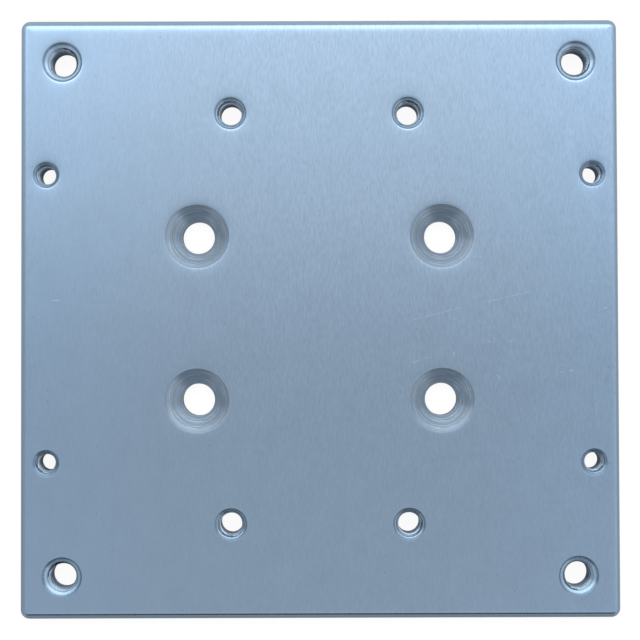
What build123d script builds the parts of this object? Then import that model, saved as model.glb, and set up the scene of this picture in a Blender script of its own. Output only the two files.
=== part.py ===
"""Square aluminium cover plate, machined from one piece of plate stock.

The plate lies flat with its countersunk face up. The origin is the centre of the back face, X runs
across the plate, Y runs along it and Z points out of the front face. All sizes are in millimetres.
"""

import os
from math import radians, tan

from build123d import *

# Blank
plate_width = 120.0  # along X
plate_length = 120.0  # along Y
plate_thickness = 5.0
corner_radius = 1.8  # of the outline, seen from above
edge_chamfer = 1.0  # around the outline at both faces

# Screw holes: four clearance holes for M6 flat-head screws, in a rectangle about the middle
screw_spacing_x = 49.0
screw_spacing_y = 32.8
screw_hole_diameter = 6.5
screw_head_diameter = 12.7  # of the countersink where it meets the front face
screw_head_angle = 90.0
screw_hole_deburr = 0.3  # at the back face

# Tapped holes are bored at the tap drill's diameter. A wide cone at the front face leads the screw
# in, and a small one at the back face clears the thread.
tap_mouth_angle = 90.0
thread_clearance = 0.1  # between the thread and the rim of the back cone, all round

# Corner holes: an M6 thread in each corner
corner_hole_inset = 8.5  # from the two nearest edges to the hole's axis
corner_thread_diameter = 6.0
corner_tap_drill = 5.0
corner_mouth_diameter = 7.9

# End holes: two M5 threads at each end of the plate's length
end_hole_inset = 18.9  # from the nearest end to the hole's axis
end_hole_spacing = 35.6
end_thread_diameter = 5.0
end_tap_drill = 4.3
end_mouth_diameter = 6.4

# Side holes: two M4 threads at each side of the plate's width
side_hole_inset = 5.3  # from the nearest side to the hole's axis
side_hole_spacing = 57.6
side_thread_diameter = 4.0
side_tap_drill = 3.4
side_mouth_diameter = 5.2


def cone_depth(mouth_diameter, bore_diameter, angle):
    """Depth of a cone that narrows from its mouth to the bore."""
    return (mouth_diameter - bore_diameter) / 2 / tan(radians(angle / 2))


def hole_cutter(bore_diameter, front_diameter, front_depth, back_diameter, back_depth):
    """The metal that one hole removes: a bore right through, opened to a cone at each face."""
    with BuildPart() as cutter:
        with BuildSketch(Plane.XZ):
            with BuildLine():
                Polyline(
                    (0, 0),
                    (back_diameter / 2, 0),
                    (bore_diameter / 2, back_depth),
                    (bore_diameter / 2, plate_thickness - front_depth),
                    (front_diameter / 2, plate_thickness),
                    (0, plate_thickness),
                    close=True,
                )
            make_face()
        revolve(axis=Axis.Z)
    return cutter.part


def screw_hole():
    """A clearance hole, countersunk at the front and deburred at the back."""
    return hole_cutter(
        screw_hole_diameter,
        screw_head_diameter,
        cone_depth(screw_head_diameter, screw_hole_diameter, screw_head_angle),
        screw_hole_diameter + 2 * screw_hole_deburr,
        screw_hole_deburr,
    )


def tapped_hole(thread_diameter, tap_drill, mouth_diameter):
    """A hole ready for its thread, with a lead-in cone at the front and a small one at the back."""
    back_diameter = thread_diameter + 2 * thread_clearance
    return hole_cutter(
        tap_drill,
        mouth_diameter,
        cone_depth(mouth_diameter, tap_drill, tap_mouth_angle),
        back_diameter,
        cone_depth(back_diameter, tap_drill, tap_mouth_angle),
    )


def blank():
    """The plate before drilling: rounded corners, and a chamfer around each face."""
    with BuildPart() as stock:
        with BuildSketch():
            RectangleRounded(plate_width, plate_length, corner_radius)
        extrude(amount=plate_thickness)
        chamfer(faces().filter_by(Axis.Z).edges(), edge_chamfer)
    return stock.part


def hole_patterns():
    """Each kind of hole, with its spacing along X and Y. All patterns share the plate's centre."""
    return [
        (screw_hole(), screw_spacing_x, screw_spacing_y),
        (
            tapped_hole(corner_thread_diameter, corner_tap_drill, corner_mouth_diameter),
            plate_width - 2 * corner_hole_inset,
            plate_length - 2 * corner_hole_inset,
        ),
        (
            tapped_hole(end_thread_diameter, end_tap_drill, end_mouth_diameter),
            end_hole_spacing,
            plate_length - 2 * end_hole_inset,
        ),
        (
            tapped_hole(side_thread_diameter, side_tap_drill, side_mouth_diameter),
            plate_width - 2 * side_hole_inset,
            side_hole_spacing,
        ),
    ]


def cover_plate():
    """The finished plate: the blank with its four patterns of four holes."""
    with BuildPart() as plate:
        add(blank())
        for cutter, spacing_x, spacing_y in hole_patterns():
            with GridLocations(spacing_x, spacing_y, 2, 2):
                add(cutter, mode=Mode.SUBTRACT)
    return plate.part


os.makedirs("parts", exist_ok=True)
export_step(cover_plate(), "parts/cover_plate.step")
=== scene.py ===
"""Looks of a square aluminium cover plate: brushed faces, milled edges, countersunk screw holes
and tapped holes with real threads. The plate is modelled in millimetres, in its own frame, and
scaled to metres at the end."""

from math import cos, pi, radians, sin, sqrt, tan

import bmesh
import bpy
from mathutils import Matrix, Vector


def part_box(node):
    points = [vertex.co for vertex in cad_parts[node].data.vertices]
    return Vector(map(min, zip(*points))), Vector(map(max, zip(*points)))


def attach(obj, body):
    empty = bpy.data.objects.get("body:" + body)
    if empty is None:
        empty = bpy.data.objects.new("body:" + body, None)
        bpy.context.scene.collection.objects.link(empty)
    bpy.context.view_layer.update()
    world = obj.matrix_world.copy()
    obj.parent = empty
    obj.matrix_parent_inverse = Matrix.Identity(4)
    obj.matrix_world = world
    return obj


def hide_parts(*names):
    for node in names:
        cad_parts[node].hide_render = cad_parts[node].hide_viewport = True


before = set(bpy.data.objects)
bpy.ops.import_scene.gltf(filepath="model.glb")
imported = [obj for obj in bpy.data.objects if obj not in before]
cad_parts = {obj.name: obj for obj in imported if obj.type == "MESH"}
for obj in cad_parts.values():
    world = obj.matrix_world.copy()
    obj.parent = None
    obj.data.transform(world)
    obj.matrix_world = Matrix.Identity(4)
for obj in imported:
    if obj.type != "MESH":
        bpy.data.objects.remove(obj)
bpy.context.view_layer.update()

MM = 0.001  # metres in a millimetre
same_place = 1e-4  # millimetres between points that count as one
cut_tolerance = 1e-5  # millimetres that a cut may miss its plane by

# Plate, in millimetres. The overall size comes from the frame.
plate_low, plate_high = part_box("cover_plate")
plate_width = (plate_high.x - plate_low.x) / MM
plate_length = (plate_high.y - plate_low.y) / MM
plate_thickness = (plate_high.z - plate_low.z) / MM
corner_radius = 1.8
corner_facets = 10
edge_chamfer = 1.0
edge_break = 0.3  # of the chamfer's own two edges
edge_break_steps = 3
square_edge = radians(80)  # an edge that turns by more than this is still square
chamfer_edge = radians(30)  # and by more than this, it borders a chamfer
sharp_edge = radians(40)  # and by more than this, it is shaded as a crease
flat_normal = 0.9999  # Z of a face's normal, above which it is part of the front or back
worn_normal = 0.8  # and above which the brush has reached it on a broken edge

# Countersunk screw holes.
screw_spacing_x = 49.0
screw_spacing_y = 32.8
screw_hole_diameter = 6.5
screw_head_diameter = 12.7
screw_hole_deburr = 0.3
screw_facets = 112
tool_ring_radii = (5.66, 5.2, 4.36, 3.92)
tool_ring_height = 0.008
tool_ring_width = 0.09

# Tapped holes: the nominal thread diameter, its pitch, the tap drill, the mouth of the lead-in
# cone, and the first hole's centre, which is repeated in the other three quarters of the plate.
corner_hole_inset = 8.5
end_hole_inset = 18.9
end_hole_spacing = 35.6
side_hole_inset = 5.3
side_hole_spacing = 57.6
TAPPED_HOLES = (
    {
        "thread": 6.0,
        "pitch": 1.0,
        "drill": 5.0,
        "mouth": 7.9,
        "x": plate_width / 2 - corner_hole_inset,
        "y": plate_length / 2 - corner_hole_inset,
        "facets": 96,
    },
    {
        "thread": 5.0,
        "pitch": 0.8,
        "drill": 4.3,
        "mouth": 6.4,
        "x": end_hole_spacing / 2,
        "y": plate_length / 2 - end_hole_inset,
        "facets": 80,
    },
    {
        "thread": 4.0,
        "pitch": 0.7,
        "drill": 3.4,
        "mouth": 5.2,
        "x": plate_width / 2 - side_hole_inset,
        "y": side_hole_spacing / 2,
        "facets": 64,
    },
)
thread_clearance = 0.1
thread_flank_angle = radians(30)
root_flat_share = 1 / 8  # of the pitch
thread_step = 0.09  # height of one row of faces
rim_snap = thread_step / 3  # a point this close to the level of a rim moves to it
thread_burr = 0.03
thread_starts = (0.4, 2.1, 3.7, 5.2)  # radians that the four threads of a pattern are turned by
spare_turns = 3  # of thread beyond the plate's thickness, which are trimmed off
groove_share = 0.35  # of the thread's depth, below which its finish is the groove's, painted darker as shade
cone_burr_height = 0.04  # the ridge that the tap raises where the thread leaves the cone
cone_burr_width = 0.16

# Lips: the small rounding where a cone meets a face.
lip_radius = 0.12
lip_angle = radians(45)
lip_steps = 3
lip_reach = lip_radius * tan(lip_angle / 2)
flat_margin = 0.4  # width of the flat ring round each lip and inside the outer chamfer

# In the map of tool lines, U falls this much for each millimetre of depth in a hole. On a 45
# degree cone the hole also narrows by as much as the depth grows, and U falls by that too.
depth_stretch = 2
cone_stretch = 1 + depth_stretch

# Every hole in one quarter of the plate, as (x, y, radius of its mouth).
QUARTER_HOLES = [(screw_spacing_x / 2, screw_spacing_y / 2, screw_head_diameter / 2)]
QUARTER_HOLES += [(hole["x"], hole["y"], hole["mouth"] / 2) for hole in TAPPED_HOLES]
ALL_HOLES = [
    (Vector((x * side_x, y * side_y)), mouth_radius)
    for x, y, mouth_radius in QUARTER_HOLES
    for side_x in (1, -1)
    for side_y in (1, -1)
]

# Finishes, by material index.
BRUSHED, MILLED, COUNTERSUNK, CHAMFERED, BORED, GROOVED = range(6)


# ---------------------------------------------------------------- mesh


def quarters(x, y):
    """A pattern's four places, one in each quarter of the plate."""
    return [(x, y), (-x, y), (-x, -y), (x, -y)]


def outer_walls():
    """The outside of the plate, with rounded corners and broken chamfers, open at both faces."""
    block = bmesh.new()
    bmesh.ops.create_cube(block, size=1.0)
    bmesh.ops.scale(block, vec=(plate_width, plate_length, plate_thickness), verts=block.verts)
    bmesh.ops.translate(block, vec=(0, 0, plate_thickness / 2), verts=block.verts)
    upright = [e for e in block.edges if climb(e) > same_place]
    bevel(block, upright, corner_radius, corner_facets)
    bevel(block, level_edges(block, square_edge), edge_chamfer, 1)
    bevel(block, level_edges(block, chamfer_edge), edge_break, edge_break_steps)
    for face in block.faces:
        face.material_index = MILLED
    faces = [f for f in block.faces if abs(f.normal.z) > flat_normal]
    bmesh.ops.inset_region(block, faces=faces, thickness=flat_margin, use_even_offset=True)
    bmesh.ops.delete(block, geom=faces, context="FACES_ONLY")
    return block


def bevel(block, edges, offset, segments):
    """Rounds or chamfers the edges."""
    bmesh.ops.bevel(
        block,
        geom=edges,
        offset=offset,
        offset_type="OFFSET",
        segments=segments,
        profile=0.5,
        affect="EDGES",
        material=-1,
    )


def climb(edge):
    """How far an edge climbs from one end to the other."""
    return abs(edge.verts[0].co.z - edge.verts[1].co.z)


def level_edges(block, least_angle):
    """Edges that run round the plate and turn by more than least_angle."""
    block.normal_update()
    level = [e for e in block.edges if climb(e) < same_place]
    return [e for e in level if e.calc_face_angle(0) > least_angle]


def lip(mouth_radius):
    """Points (radius, depth) of a flat ring, and the rounding from the face to a 45 degree cone."""
    points = [(mouth_radius + lip_reach + flat_margin, 0)]
    for step in range(lip_steps + 1):
        angle = lip_angle * step / lip_steps
        radius = mouth_radius + lip_reach - lip_radius * sin(angle)
        points.append((radius, lip_radius * (1 - cos(angle))))
    return points


def spun_wall(profile, facets, rise=0.0):
    """A wall made by turning a profile of (radius, z) points once round the Z axis. With a rise
    it climbs that far in one turn, and its two ends meet one pitch apart."""
    wall = bmesh.new()
    points = [wall.verts.new((radius, 0, z)) for radius, z in profile]
    for low, high in zip(points, points[1:]):
        wall.edges.new((low, high))
    bmesh.ops.spin(
        wall,
        geom=wall.verts[:] + wall.edges[:],
        cent=(0, 0, 0),
        axis=(0, 0, 1),
        dvec=(0, 0, rise / facets),
        angle=2 * pi,
        steps=facets,
        use_merge=rise == 0,
    )
    bmesh.ops.remove_doubles(wall, verts=wall.verts, dist=same_place)
    return wall


def ridge(radius, mouth_radius, height, width):
    """Three points (radius, depth) of a fine ridge that runs round a 45 degree cone."""
    half = width / 2 * sin(lip_angle)
    rise = height * sin(lip_angle)
    depth = mouth_radius - radius
    return [
        (radius + half, depth - half),
        (radius - rise, depth - rise),
        (radius - half, depth + half),
    ]


def screw_wall():
    """Wall of a screw hole: countersink with tool rings, through hole and a broken back edge."""
    mouth = screw_head_diameter / 2
    bore = screw_hole_diameter / 2
    down = lip(mouth)
    for radius in tool_ring_radii:
        down += ridge(radius, mouth, tool_ring_height, tool_ring_width)
    down.append((bore, mouth - bore))
    up = lip(bore + screw_hole_deburr)
    up.append((bore, screw_hole_deburr))
    profile = [(radius, plate_thickness - depth) for radius, depth in down]
    profile += [(radius, depth) for radius, depth in reversed(up)]
    wall = spun_wall(profile, screw_facets)
    set_finishes(wall, plate_thickness - mouth + bore, COUNTERSUNK)
    return wall


def set_finishes(wall, cone_end, cone_finish):
    """One finish down to the level where the front cone ends, and bored below it."""
    for face in wall.faces:
        above = face.calc_center_median().z > cone_end
        face.material_index = cone_finish if above else BORED


def thread_profile(hole):
    """Points (radius, z) of the tapped wall from a pitch below the plate to a pitch above it."""
    crest = hole["drill"] / 2
    root = hole["thread"] / 2
    pitch = hole["pitch"]
    flank = (root - crest) * tan(thread_flank_angle)
    root_flat = pitch * root_flat_share
    crest_flat = pitch - 2 * flank - root_flat
    corners = (
        (crest, 0),
        (crest, crest_flat),
        (root, crest_flat + flank),
        (root, crest_flat + flank + root_flat),
        (crest, pitch),
    )
    turn = []
    for (radius, z), (next_radius, next_z) in zip(corners, corners[1:]):
        steps = max(1, round((next_z - z) / thread_step))
        for step in range(steps):
            share = step / steps
            turn.append((radius + (next_radius - radius) * share, z + (next_z - z) * share))
    turns = int(plate_thickness / pitch) + 1 + spare_turns
    start = -spare_turns / 2 * pitch
    return [(radius, start + pitch * n + z) for n in range(turns) for radius, z in turn]


def open_cones(wall, mouth_radius, back_radius, rims):
    """Pushes the threads out to the lead-in cones at both faces, with a small burr between. Points
    close to the levels of the two rims move to them, so that trimming leaves no slivers."""
    for vertex in wall.verts:
        for level in rims:
            if abs(vertex.co.z - level) < rim_snap:
                vertex.co.z = level
        radius = vertex.co.xy.length
        front = mouth_radius - (plate_thickness - vertex.co.z)
        back = back_radius - vertex.co.z
        for cone in (front, back):
            step = cone - radius
            radius += (step + sqrt(step * step + thread_burr * thread_burr)) / 2
        vertex.co.xy *= radius / vertex.co.xy.length


def trim(wall, level, keep_below):
    """Cuts the wall off level, and returns the edges of its open end."""
    cut = bmesh.ops.bisect_plane(
        wall,
        geom=wall.verts[:] + wall.edges[:] + wall.faces[:],
        dist=cut_tolerance,
        plane_co=(0, 0, level),
        plane_no=(0, 0, 1),
        clear_outer=keep_below,
        clear_inner=not keep_below,
    )
    return [e for e in cut["geom_cut"] if isinstance(e, bmesh.types.BMEdge)]


def grow_rings(wall, rim, rings, face_level, outward):
    """Grows rings of (radius, depth) one after another from the open end of the wall."""
    for radius, depth in rings:
        grown = bmesh.ops.extrude_edge_only(wall, edges=rim)["geom"]
        rim = [e for e in grown if isinstance(e, bmesh.types.BMEdge)]
        for vertex in grown:
            if isinstance(vertex, bmesh.types.BMVert):
                vertex.co.xy *= radius / vertex.co.xy.length
                vertex.co.z = face_level - outward * depth


def tapped_wall(hole):
    """Wall of a tapped hole: a right-hand thread between two lead-in cones. Between its grooves, the
    thread's first turn still has the front cone's surface and finish."""
    mouth = hole["mouth"] / 2
    root = hole["thread"] / 2
    back = root + thread_clearance
    cone_end = plate_thickness - mouth + root
    lip_depth = lip(mouth)[-1][1]
    wall = spun_wall(thread_profile(hole), hole["facets"], hole["pitch"])
    open_cones(wall, mouth, back, (lip_depth, cone_end))
    front = lip(mouth) + ridge(root + cone_burr_width, mouth, cone_burr_height, cone_burr_width)
    front_rim = trim(wall, cone_end, keep_below=True)
    grow_rings(wall, front_rim, reversed(front), plate_thickness, 1)
    back_rim = trim(wall, lip_depth, keep_below=False)
    grow_rings(wall, back_rim, reversed(lip(back)[:-1]), 0, -1)
    set_finishes(wall, cone_end, CHAMFERED)
    crest = hole["drill"] / 2
    for face in wall.faces:
        middle = face.calc_center_median()
        radius = middle.xy.length
        cone = mouth - (plate_thickness - middle.z)
        if cone > crest and abs(radius - cone) < thread_burr:
            face.material_index = CHAMFERED
        elif radius > crest + groove_share * (root - crest):
            face.material_index = GROOVED
    return wall


def add_section(plate, section, place=Matrix()):
    """Copies a section of wall into the plate, at its place."""
    mesh = bpy.data.meshes.new("section")
    section.to_mesh(mesh)
    mesh.transform(place)
    plate.from_mesh(mesh)
    bpy.data.meshes.remove(mesh)


def close_face(plate, level):
    """Fills one flat face between the outer chamfer and the lips of the holes."""
    rims = [
        e
        for e in plate.edges
        if e.is_boundary and all(abs(v.co.z - level) < same_place for v in e.verts)
    ]
    bmesh.ops.triangle_fill(plate, edges=rims, use_beauty=True, normal=(0, 0, 1))


def map_tool_lines(plate):
    """A map in millimetres with U across the tool lines and V along them. The lines run along Y on
    the flat faces, round the plate on its outside, and round the axis in each hole, where U is 0 at
    the front rim."""
    tool_lines = plate.loops.layers.uv.new("tool_lines")
    for face in plate.faces:
        middle = face.calc_center_median().xy
        along_wall = Vector((-face.normal.y, face.normal.x))
        axis, mouth_radius = min(ALL_HOLES, key=lambda hole: (hole[0] - middle).length_squared)
        start = middle - axis
        for corner in face.loops:
            point = corner.vert.co
            arm = point.xy - axis
            if face.material_index == BRUSHED:
                spot = point.xy
            elif face.material_index == MILLED:
                spot = (point.z, point.xy.dot(along_wall.normalized()))
            else:
                turn = start.angle_signed(Vector((1, 0))) + arm.angle_signed(start)
                depth = plate_thickness - point.z
                across = arm.length - mouth_radius - depth_stretch * depth
                spot = (across, turn * start.length)
            corner[tool_lines].uv = spot


def cover_plate():
    """The whole plate as one closed mesh."""
    plate = bmesh.new()
    add_section(plate, outer_walls())
    wall = screw_wall()
    for x, y in quarters(screw_spacing_x / 2, screw_spacing_y / 2):
        add_section(plate, wall, Matrix.Translation((x, y, 0)))
    for hole in TAPPED_HOLES:
        wall = tapped_wall(hole)
        for (x, y), start in zip(quarters(hole["x"], hole["y"]), thread_starts):
            turned = Matrix.Translation((x, y, 0)) @ Matrix.Rotation(start, 4, "Z")
            add_section(plate, wall, turned)
    close_face(plate, plate_thickness)
    close_face(plate, 0)
    bmesh.ops.recalc_face_normals(plate, faces=plate.faces)
    for face in plate.faces:
        face.smooth = True
        least = worn_normal if face.material_index == MILLED else flat_normal
        if abs(face.normal.z) > least:
            face.material_index = BRUSHED
    for edge in plate.edges:
        edge.smooth = edge.calc_face_angle(0) < sharp_edge
    map_tool_lines(plate)
    bmesh.ops.scale(plate, vec=(MM, MM, MM), verts=plate.verts)
    mesh = bpy.data.meshes.new("cover_plate_body")
    plate.to_mesh(mesh)
    piece = bpy.data.objects.new("cover_plate_body", mesh)
    bpy.context.scene.collection.objects.link(piece)
    smooth = piece.modifiers.new("flat_faces_stay_flat", "WEIGHTED_NORMAL")
    smooth.mode = "FACE_AREA"
    smooth.keep_sharp = True
    return piece


# ---------------------------------------------------------------- nodes


def place(tree, kind, sockets=None, **settings):
    """Adds a node, sets its options, and fills its sockets with numbers or links."""
    made = tree.nodes.new(kind)
    for name, value in settings.items():
        setattr(made, name, value)
    for name, value in (sockets or {}).items():
        if isinstance(value, bpy.types.NodeSocket):
            tree.links.new(value, made.inputs[name])
        else:
            made.inputs[name].default_value = value
    return made


def maths(tree, operation, first, second=0.0, third=0.0):
    """Output of a Math node."""
    sockets = {0: first, 1: second, 2: third}
    return place(tree, "ShaderNodeMath", sockets, operation=operation).outputs[0]


def smooth_step(tree, value, low, high, out_low=0.0, out_high=1.0):
    """Output of a Map Range node that eases from one number to another."""
    sockets = {0: value, 1: low, 2: high, 3: out_low, 4: out_high}
    return place(tree, "ShaderNodeMapRange", sockets, interpolation_type="SMOOTHSTEP").outputs[0]


def mix_value(tree, factor, low, high):
    """Output of a Mix node on two numbers."""
    sockets = {0: factor, 2: low, 3: high}
    return place(tree, "ShaderNodeMix", sockets, data_type="FLOAT").outputs[0]


def mix_colour(tree, factor, low, high):
    """Output of a Mix node on two colours."""
    sockets = {0: factor, 6: (*low, 1), 7: (*high, 1)}
    return place(tree, "ShaderNodeMix", sockets, data_type="RGBA").outputs[2]


def new_group(name, inputs, outputs):
    """An empty node group with the given sockets, and its two end nodes."""
    tree = bpy.data.node_groups.new(name, "ShaderNodeTree")
    for label, kind in inputs:
        tree.interface.new_socket(name=label, in_out="INPUT", socket_type="NodeSocket" + kind)
    for label, kind in outputs:
        tree.interface.new_socket(name=label, in_out="OUTPUT", socket_type="NodeSocket" + kind)
    return tree, tree.nodes.new("NodeGroupInput"), tree.nodes.new("NodeGroupOutput")


def vector(tree, operation, first, second=(0, 0, 0), output=0):
    """Output of a Vector Math node."""
    made = place(tree, "ShaderNodeVectorMath", {0: first, 1: second}, operation=operation)
    return made.outputs[output]


def scaled(tree, value, factor):
    """A vector or colour times a number."""
    sockets = {0: value, "Scale": factor}
    return place(tree, "ShaderNodeVectorMath", sockets, operation="SCALE").outputs[0]


def spots(tree, position, size, detail=2.0):
    """Output of a Noise node, from 0 to 1, with spots about as large as size along X, Y and Z."""
    stretched = vector(tree, "DIVIDE", position, size)
    sockets = {"Vector": stretched, "Scale": 1.0, "Detail": detail}
    return place(tree, "ShaderNodeTexNoise", sockets).outputs[0]


def distance_group():
    """Distances in millimetres from a point of a flat face to the outer chamfer and to the nearest
    hole's rim. The plate's four quarters are alike, so one quarter is enough."""
    inputs = [("Position", "Vector")]
    outputs = [("Edge", "Float"), ("Rim", "Float")]
    tree, start, end = new_group("edge_and_rim_distance", inputs, outputs)
    flat = vector(tree, "MULTIPLY", start.outputs[0], (1, 1, 0))
    folded = vector(tree, "ABSOLUTE", flat)
    axes = place(tree, "ShaderNodeSeparateXYZ", {0: folded}).outputs
    to_side = maths(tree, "SUBTRACT", plate_width / 2, axes[0])
    to_end = maths(tree, "SUBTRACT", plate_length / 2, axes[1])
    edge = maths(tree, "SUBTRACT", maths(tree, "MINIMUM", to_side, to_end), edge_chamfer)
    rim = plate_width
    for x, y, mouth_radius in QUARTER_HOLES:
        to_axis = vector(tree, "DISTANCE", folded, (x, y, 0), output=1)
        rim = maths(tree, "MINIMUM", rim, maths(tree, "SUBTRACT", to_axis, mouth_radius))
    tree.links.new(edge, end.inputs["Edge"])
    tree.links.new(rim, end.inputs["Rim"])
    return tree


def scratch_group():
    """A mask that is 1 on one straight scratch: its centre, unit direction and half length."""
    inputs = [("Position", "Vector"), ("Centre", "Vector"), ("Direction", "Vector")]
    inputs += [("Half Length", "Float"), ("Width", "Float")]
    tree, start, end = new_group("scratch_line", inputs, [("Mask", "Float")])
    flat = vector(tree, "MULTIPLY", start.outputs["Position"], (1, 1, 0))
    arm = vector(tree, "SUBTRACT", flat, start.outputs["Centre"])
    along = vector(tree, "DOT_PRODUCT", arm, start.outputs["Direction"], output=1)
    cross = vector(tree, "CROSS_PRODUCT", arm, start.outputs["Direction"])
    across = vector(tree, "LENGTH", cross, output=1)
    share_along = maths(tree, "DIVIDE", maths(tree, "ABSOLUTE", along), start.outputs["Half Length"])
    share_across = maths(tree, "DIVIDE", across, start.outputs["Width"])
    mask = maths(
        tree,
        "MULTIPLY",
        smooth_step(tree, share_along, scratch_full_length, 1.0, 1.0, 0.0),
        smooth_step(tree, share_across, scratch_full_width, 1.0, 1.0, 0.0),
    )
    tree.links.new(mask, end.inputs["Mask"])
    return tree


# ---------------------------------------------------------------- materials

brushed_colour = (0.24, 0.328, 0.437)
# The side colour is a painted tint of bluer reflected light toward the sides of the face.
brushed_side_painted_tint = (0.239, 0.341, 0.47)
brushed_grazing_tint = (0.8, 0.88, 0.95)
milled_colour = (0.21, 0.28, 0.355)
countersunk_colour = (0.25, 0.323, 0.405)
# The two rim colours are painted shade: a darker band round the top of each cone.
countersunk_painted_rim_shade = (0.18, 0.235, 0.3)
chamfered_colour = (0.305, 0.422, 0.545)
chamfered_painted_rim_shade = (0.15, 0.23, 0.33)
# The bore colour is painted dark as shade inside the holes.
bored_colour_painted_dark = (0.05, 0.062, 0.078)
# Thread grooves are painted darker still, as shade between the thread's crests.
groove_colour_painted_darker = (0.022, 0.028, 0.038)
bored_grazing_tint = (0.4, 0.45, 0.5)

brushed_roughness = 0.27
milled_roughness = 0.42
turned_roughness = 0.3
bored_roughness = 0.28
brushed_stretch = 1.0  # of highlights, across the tool lines
milled_stretch = 0.9
turned_stretch = 1.0

# Patterns. A size is about how large a spot is along each axis, in millimetres, and a swing is how
# far the pattern moves the colour, as a share of it.
grain_size = (0.28, 1.3, 0.3)
grain_detail = 0.5
grain_height = 0.002
grain_swing = 0.24
cloud_size = (4.0, 6.0, 4.0)
cloud_swing = 0.08
side_patch_size = (9.0, 9.0, 9.0)
side_patch_reach = 24  # millimetres that a patch moves the border of the painted side tint by
side_border = (34, 72)  # millimetres from the middle, where the painted side tint begins and is full
pressure_ramp_x = (-45, -5, 0.5, 1.0)  # from and to a place in millimetres, and a share of grain
pressure_ramp_y = (-60, 10, 0.55, 1.0)
cutter_line_size = (9.0, 9.0, 0.12)
cutter_line_height = 0.004
cutter_line_swing = 0.15
tool_line_size = (0.3, 12.0, 1.0)  # across and along the tool lines, as for the next two
chatter_size = (1.6, 0.3, 1.0)
ring_gap_size = (2.0, 3.0, 1.0)
ring_gap_levels = (0.45, 0.6)  # of the noise: a gap below the first, none above the second
tool_line_height = 0.005
tool_line_swing = 0.25
ring_highlight_swing = 0.7
ring_core = 1 / 60  # half the width of a painted highlight ring's bright middle, as a depth
ring_reach = 1 / 12  # and of the whole ring
rim_softness = 0.2  # share of a painted dark rim's depth that it fades over, to each side of its end
countersunk_rim_depth = 0.1
countersunk_chatter_swing = 0.1
chamfered_rim_depth = 0.35
chamfered_chatter_swing = 0.6
stain_size = (0.4, 0.4, 0.4)
stain_swing = 0.8
bored_painted_mouth_light = 4.5  # painted light: how many times its own colour is added to a bore at the front
# painted light, as above, for the thread grooves
groove_painted_mouth_light = 2.0
painted_mouth_light_ramp = (0.46, 0.86)  # where that begins and ends, as shares of the thickness

# The brush wears the face away a little next to the plate's edge and the rims of the holes.
edge_wear_depth = 0.13
edge_wear_reach = 0.57
rim_wear_depth = 0.065
rim_wear_reach = 0.85

# Pits in the brushed face, in millimetres: one here and there on a grid of cells.
pit_spacing = 3.2
pit_radius = 0.16
pit_share = 0.07
pit_swing = -0.4

# Scratches on the front face, in millimetres and degrees: x, y, length, angle, width.
SCRATCHES = (
    (23.5, 0.8, 13.0, 14, 0.16),
    (37.5, 4.1, 12.0, 13, 0.16),
    (34.4, -4.8, 2.2, 0, 0.22),
    (38.2, -4.8, 1.4, 0, 0.22),
    (20.2, -8.4, 5.2, 18, 0.18),
    (26.7, -7.0, 1.8, -70, 0.2),
    (49.2, -10.8, 3.6, 10, 0.2),
    (35.6, -11.8, 1.3, -40, 0.25),
    (55.2, -18.4, 3.2, 88, 0.2),
    (54.6, 7.3, 1.8, 5, 0.2),
    (57.0, 1.8, 2.4, 22, 0.2),
    (31.6, 12.2, 2.2, 2, 0.2),
    (-52.3, 3.7, 3.6, 4, 0.2),
)
scratch_full_length = 0.6  # share of its half length where a scratch begins to fade
scratch_full_width = 0.2  # and of its width
scratch_gap_size = (0.5, 0.5, 0.5)
scratch_gap_levels = (0.42, 0.55)
scratch_swing = 0.25


def new_material(name, colour, roughness):
    """A metal with its Principled shader, and the position on the piece in millimetres."""
    material = bpy.data.materials.new(name)
    material.use_nodes = True
    tree = material.node_tree
    tree.nodes.clear()
    shader = place(tree, "ShaderNodeBsdfPrincipled", {"Metallic": 1.0})
    shader.inputs["Base Color"].default_value = (*colour, 1)
    shader.inputs["Roughness"].default_value = roughness
    out = place(tree, "ShaderNodeOutputMaterial")
    tree.links.new(shader.outputs[0], out.inputs[0])
    metres = place(tree, "ShaderNodeTexCoord").outputs["Object"]
    position = scaled(tree, metres, 1 / MM)
    return material, tree, shader, position


def along_tool_lines(tree, shader, amount):
    """Stretches highlights across the tool lines."""
    tangent = place(tree, "ShaderNodeTangent", direction_type="UV_MAP", uv_map="tool_lines")
    tree.links.new(tangent.outputs[0], shader.inputs["Tangent"])
    shader.inputs["Anisotropic"].default_value = amount


def raise_surface(tree, shader, height):
    """Bumps the surface by a height in millimetres."""
    bump = place(tree, "ShaderNodeBump", {"Strength": 1.0, "Distance": MM, "Height": height})
    tree.links.new(bump.outputs[0], shader.inputs["Normal"])


def shade(tree, shader, colour, noises, marks=()):
    """Varies the colour with noises, which average a half, and marks, which are mostly 0. Each is
    (pattern from 0 to 1, its full swing)."""
    level = 1.0 - sum(swing for _, swing in noises) / 2
    for pattern, swing in (*noises, *marks):
        level = maths(tree, "MULTIPLY_ADD", pattern, swing, level)
    tree.links.new(scaled(tree, colour, level), shader.inputs["Base Color"])


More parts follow.
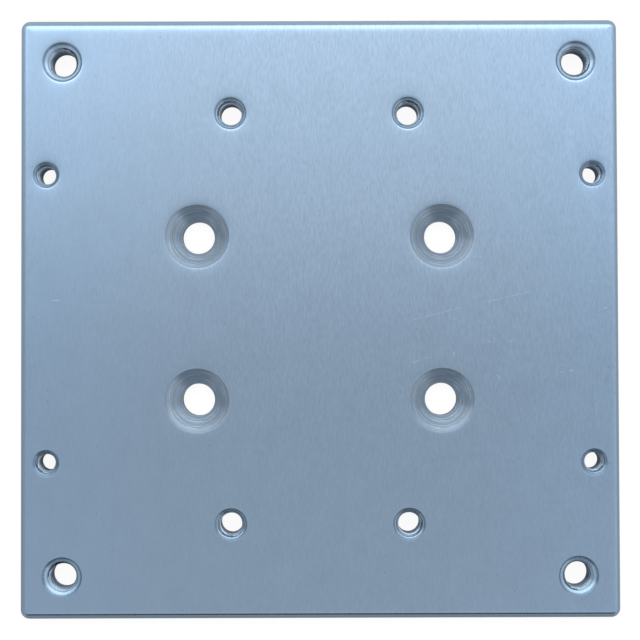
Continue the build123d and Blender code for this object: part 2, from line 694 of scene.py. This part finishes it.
def brushed_aluminium(distances, scratch):
    """The two flat faces, brushed along Y, with more pressure towards +X and +Y, and a painted
    tint of bluer reflected light toward the sides.
    """
    material, tree, shader, position = new_material(
        "brushed_aluminium", brushed_colour, brushed_roughness
    )
    shader.inputs["Specular Tint"].default_value = (*brushed_grazing_tint, 1)
    along_tool_lines(tree, shader, brushed_stretch)
    gauge = place(tree, "ShaderNodeGroup", {"Position": position}, node_tree=distances)
    edge_decay = maths(tree, "DIVIDE", gauge.outputs["Edge"], -edge_wear_reach)
    edge_decay = maths(tree, "MINIMUM", edge_decay, 0.0)
    rim_decay = maths(tree, "DIVIDE", gauge.outputs["Rim"], -rim_wear_reach)
    edge_wear = maths(tree, "MULTIPLY", maths(tree, "EXPONENT", edge_decay), -edge_wear_depth)
    rim_wear = maths(tree, "MULTIPLY", maths(tree, "EXPONENT", rim_decay), -rim_wear_depth)
    grain = spots(tree, position, grain_size, grain_detail)
    wear = maths(tree, "ADD", edge_wear, rim_wear)
    raise_surface(tree, shader, maths(tree, "MULTIPLY_ADD", grain, grain_height, wear))

    scratches = 0.0
    for x, y, length, angle, width in SCRATCHES:
        sockets = {
            "Position": position,
            "Centre": (x, y, 0),
            "Direction": (cos(radians(angle)), sin(radians(angle)), 0),
            "Half Length": length / 2,
            "Width": width,
        }
        line = place(tree, "ShaderNodeGroup", sockets, node_tree=scratch).outputs[0]
        scratches = maths(tree, "MAXIMUM", scratches, line)
    gaps = smooth_step(tree, spots(tree, position, scratch_gap_size), *scratch_gap_levels)
    scratches = maths(tree, "MULTIPLY", scratches, gaps)

    axes = place(tree, "ShaderNodeSeparateXYZ", {0: position}).outputs
    off_middle = maths(tree, "ABSOLUTE", axes[0])
    patches = spots(tree, position, side_patch_size)
    off_middle = maths(tree, "MULTIPLY_ADD", patches, side_patch_reach, off_middle)
    # Painted reflection: the face turns bluer toward the sides.
    sides = smooth_step(tree, off_middle, *side_border)
    colour = mix_colour(tree, sides, brushed_colour, brushed_side_painted_tint)
    pressure_x = smooth_step(tree, axes[0], *pressure_ramp_x)
    pressure_y = smooth_step(tree, axes[1], *pressure_ramp_y)
    pressure = maths(tree, "MULTIPLY", pressure_x, pressure_y)
    grain = maths(tree, "MULTIPLY_ADD", maths(tree, "SUBTRACT", grain, 0.5), pressure, 0.5)
    noises = [(grain, grain_swing), (spots(tree, position, cloud_size), cloud_swing)]
    marks = [(scratches, scratch_swing), (pits(tree, position), pit_swing)]
    shade(tree, shader, colour, noises, marks)
    return material


def pits(tree, position):
    """A mask that is 1 on sparse pits."""
    cells = scaled(tree, position, 1 / pit_spacing)
    sockets = {"Vector": cells, "Scale": 1.0}
    scatter = place(tree, "ShaderNodeTexVoronoi", sockets, voronoi_dimensions="2D").outputs
    radius = pit_radius / pit_spacing
    near = smooth_step(tree, scatter["Distance"], radius, radius / 3)
    chance = place(tree, "ShaderNodeSeparateXYZ", {0: scatter["Color"]}).outputs[0]
    return maths(tree, "MULTIPLY", near, maths(tree, "LESS_THAN", chance, pit_share))


def milled_aluminium():
    """Side walls and chamfers, with cutter lines that run round the plate."""
    material, tree, shader, position = new_material(
        "milled_aluminium", milled_colour, milled_roughness
    )
    along_tool_lines(tree, shader, milled_stretch)
    lines = spots(tree, position, cutter_line_size)
    raise_surface(tree, shader, maths(tree, "MULTIPLY", lines, cutter_line_height))
    shade(tree, shader, milled_colour, [(lines, cutter_line_swing)])
    return material


def turned_aluminium(name, colour, painted_rim_shade, rim_depth, chatter_swing, ring_depths=()):
    """Cones with tool lines round the hole, chatter marks across them, a band of painted shade from
    the rim down to rim_depth, and painted highlights on broken rings."""
    material, tree, shader, _ = new_material(name, colour, turned_roughness)
    along_tool_lines(tree, shader, turned_stretch)
    where = place(tree, "ShaderNodeUVMap", uv_map="tool_lines").outputs[0]
    lines = spots(tree, where, tool_line_size)
    raise_surface(tree, shader, maths(tree, "MULTIPLY", lines, tool_line_height))
    across = place(tree, "ShaderNodeSeparateXYZ", {0: where}).outputs[0]
    depth = maths(tree, "DIVIDE", across, -cone_stretch)
    fade = rim_softness * rim_depth
    # Painted shade: the band below the rim is darker.
    below_rim = smooth_step(tree, depth, rim_depth - fade, rim_depth + fade)
    colour = mix_colour(tree, below_rim, painted_rim_shade, colour)
    noises = [(lines, tool_line_swing), (spots(tree, where, chatter_size), chatter_swing)]
    marks = []
    if ring_depths:
        # Painted highlights on the tool rings.
        marks.append((broken_ring_highlights(tree, where, depth, ring_depths), ring_highlight_swing))
    shade(tree, shader, colour, noises, marks)
    return material


def broken_ring_highlights(tree, where, depth, ring_depths):
    """A mask of painted highlights that is 1 on rings at the given depths of a cone, with gaps in
    them.
    """
    rings = 0.0
    for ring_depth in ring_depths:
        off_ring = maths(tree, "ABSOLUTE", maths(tree, "SUBTRACT", depth, ring_depth))
        ring = smooth_step(tree, off_ring, ring_core, ring_reach, 1.0, 0.0)
        rings = maths(tree, "MAXIMUM", rings, ring)
    gaps = smooth_step(tree, spots(tree, where, ring_gap_size), *ring_gap_levels)
    return maths(tree, "MULTIPLY", rings, gaps)


def countersunk_aluminium():
    """The screw holes' cones, with a painted highlight on each tool ring."""
    depths = [screw_head_diameter / 2 - radius for radius in tool_ring_radii]
    colours = (countersunk_colour, countersunk_painted_rim_shade)
    return turned_aluminium(
        "countersunk_aluminium", *colours, countersunk_rim_depth, countersunk_chatter_swing, depths
    )


def chamfered_aluminium():
    """The tapped holes' lead-in cones, with a broad rim of painted shade and rough chatter marks."""
    colours = (chamfered_colour, chamfered_painted_rim_shade)
    return turned_aluminium(
        "chamfered_aluminium", *colours, chamfered_rim_depth, chamfered_chatter_swing
    )


def bored_aluminium(name, colour, painted_mouth_light):
    """Bores and threads: stained, dark at the back from painted shade, and lighter at the front
    from painted light, which adds the last argument times their colour.
    """
    material, tree, shader, position = new_material(name, colour, bored_roughness)
    shader.inputs["Specular Tint"].default_value = (*bored_grazing_tint, 1)
    height = place(tree, "ShaderNodeSeparateXYZ", {0: position}).outputs[2]
    mouth = smooth_step(tree, height, *(share * plate_thickness for share in painted_mouth_light_ramp))
    stains = spots(tree, position, stain_size)
    # Painted shade keeps the back dark, and painted light brightens the front.
    shade(tree, shader, colour, [(stains, stain_swing)], [(mouth, painted_mouth_light)])
    return material


# ---------------------------------------------------------------- studio

floor_reach = 4.0  # metres
floor_gap = 0.02  # millimetres under the plate
paper_colour = (0.9, 0.9, 0.9, 1)
floor_glow = 0.93  # share of plain white in the floor, as seen by the camera and in reflections

# Light levels of the room. A pair of heights or slopes says where one part of the room begins to
# give way to the next, and where it has done so: a height is the Z of a direction one unit long,
# and a slope is its Y over its Z. A pair of turns is the same for how well it points to a side.
skirting_level = 1.0
skirting_heights = (0.05, 0.14)
wall_levels = (0.9, 1.65)
bright_side = (0.8, 0.6, 0.0)
bright_side_turns = (-0.9, 0.5)
window_wall_gain = 1.1
window_wall_turns = (0.7, 1.0)
dark_corner = (0.0, -0.97, 0.24)
dark_corner_gain = 0.05
dark_corner_turns = (0.7, 0.95)
wall_top_heights = (0.5, 0.75)
least_height = 0.02  # which keeps slopes finite
ceiling_levels = (1.14, 2.15)
ceiling_slopes = (-0.08, 0.33)
ceiling_edge_gain = 1.25
ceiling_edge_heights = (0.95, 0.7)
window_level = 4.3
window_slant = -0.06  # each unit of X over Z counts as this much slope
window_slopes = (0.358, 0.392)
window_foot_heights = (0.48, 0.66)

# Camera: its place in millimetres, its turns in degrees, and its focal length.
camera_place = (-0.02, -3.87, 221.29)
camera_turns = (0.919, -0.019, -0.172)
camera_lens = 60.87


def paper_floor():
    """A wide white sheet that the plate lies on."""
    sheet = bmesh.new()
    bmesh.ops.create_grid(sheet, x_segments=1, y_segments=1, size=floor_reach)
    bmesh.ops.translate(sheet, vec=(0, 0, -floor_gap * MM), verts=sheet.verts)
    mesh = bpy.data.meshes.new("paper_floor")
    sheet.to_mesh(mesh)
    floor = bpy.data.objects.new("paper_floor", mesh)
    bpy.context.scene.collection.objects.link(floor)

    material = bpy.data.materials.new("white_paper")
    material.use_nodes = True
    tree = material.node_tree
    tree.nodes.clear()
    paper = place(tree, "ShaderNodeBsdfDiffuse", {"Color": paper_colour})
    white = place(tree, "ShaderNodeEmission", {"Strength": 1.0})
    rays = place(tree, "ShaderNodeLightPath").outputs
    seen = maths(tree, "MAXIMUM", rays["Is Camera Ray"], rays["Is Glossy Ray"])
    seen = maths(tree, "MAXIMUM", seen, rays["Is Transmission Ray"])
    share = maths(tree, "MULTIPLY", seen, floor_glow)
    both = place(tree, "ShaderNodeMixShader", {0: share, 1: paper.outputs[0], 2: white.outputs[0]})
    out = place(tree, "ShaderNodeOutputMaterial")
    tree.links.new(both.outputs[0], out.inputs[0])
    mesh.materials.append(material)


def studio_light():
    """Soft light from all round: a ceiling that brightens towards +Y, a broad window high in the +Y
    wall, pale walls on a skirting of one level, and a dark corner low on the -Y side."""
    world = bpy.data.worlds.new("studio")
    bpy.context.scene.world = world
    world.use_nodes = True
    tree = world.node_tree
    tree.nodes.clear()
    direction = place(tree, "ShaderNodeTexCoord").outputs["Generated"]
    axes = place(tree, "ShaderNodeSeparateXYZ", {0: direction}).outputs
    height = maths(tree, "MAXIMUM", axes[2], least_height)
    slope_x = maths(tree, "DIVIDE", axes[0], height)
    slope_y = maths(tree, "DIVIDE", axes[1], height)
    ceiling = smooth_step(tree, slope_y, *ceiling_slopes, *ceiling_levels)
    ceiling_edge = smooth_step(tree, height, *ceiling_edge_heights, 1.0, ceiling_edge_gain)
    ceiling = maths(tree, "MULTIPLY", ceiling, ceiling_edge)

    to_bright = vector(tree, "DOT_PRODUCT", direction, bright_side, output=1)
    walls = smooth_step(tree, to_bright, *bright_side_turns, *wall_levels)
    window_wall = smooth_step(tree, axes[1], *window_wall_turns, 1.0, window_wall_gain)
    walls = maths(tree, "MULTIPLY", walls, window_wall)
    to_dark = vector(tree, "DOT_PRODUCT", direction, dark_corner, output=1)
    corner = smooth_step(tree, to_dark, *dark_corner_turns, 1.0, dark_corner_gain)
    walls = maths(tree, "MULTIPLY", walls, corner)
    above_skirting = smooth_step(tree, axes[2], *skirting_heights)
    walls = mix_value(tree, above_skirting, skirting_level, walls)
    aloft = smooth_step(tree, height, *wall_top_heights)
    room = mix_value(tree, aloft, walls, ceiling)

    slope = maths(tree, "MULTIPLY_ADD", slope_x, window_slant, slope_y)
    window = smooth_step(tree, slope, *window_slopes)
    above_foot = smooth_step(tree, height, *window_foot_heights)
    window = maths(tree, "MULTIPLY", window, above_foot)
    light = mix_value(tree, window, room, window_level)
    back = place(tree, "ShaderNodeBackground", {"Strength": light})
    out = place(tree, "ShaderNodeOutputWorld")
    tree.links.new(back.outputs[0], out.inputs[0])


def camera():
    """Looks straight down on the countersunk face, from a little nearer the -Y edge."""
    data = bpy.data.cameras.new("camera")
    data.lens = camera_lens
    eye = bpy.data.objects.new("camera", data)
    eye.location = Vector(camera_place) * MM
    eye.rotation_euler = [radians(turn) for turn in camera_turns]
    bpy.context.scene.collection.objects.link(eye)
    bpy.context.scene.camera = eye


# ---------------------------------------------------------------- scene


bpy.context.scene.view_settings.view_transform = "Standard"
camera()
studio_light()
paper_floor()

body = cover_plate()
body.data.materials.append(brushed_aluminium(distance_group(), scratch_group()))
body.data.materials.append(milled_aluminium())
body.data.materials.append(countersunk_aluminium())
body.data.materials.append(chamfered_aluminium())
body.data.materials.append(bored_aluminium("bored_aluminium", bored_colour_painted_dark, bored_painted_mouth_light))
body.data.materials.append(bored_aluminium("thread_groove_aluminium", groove_colour_painted_darker, groove_painted_mouth_light))
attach(body, "root")
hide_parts("cover_plate")
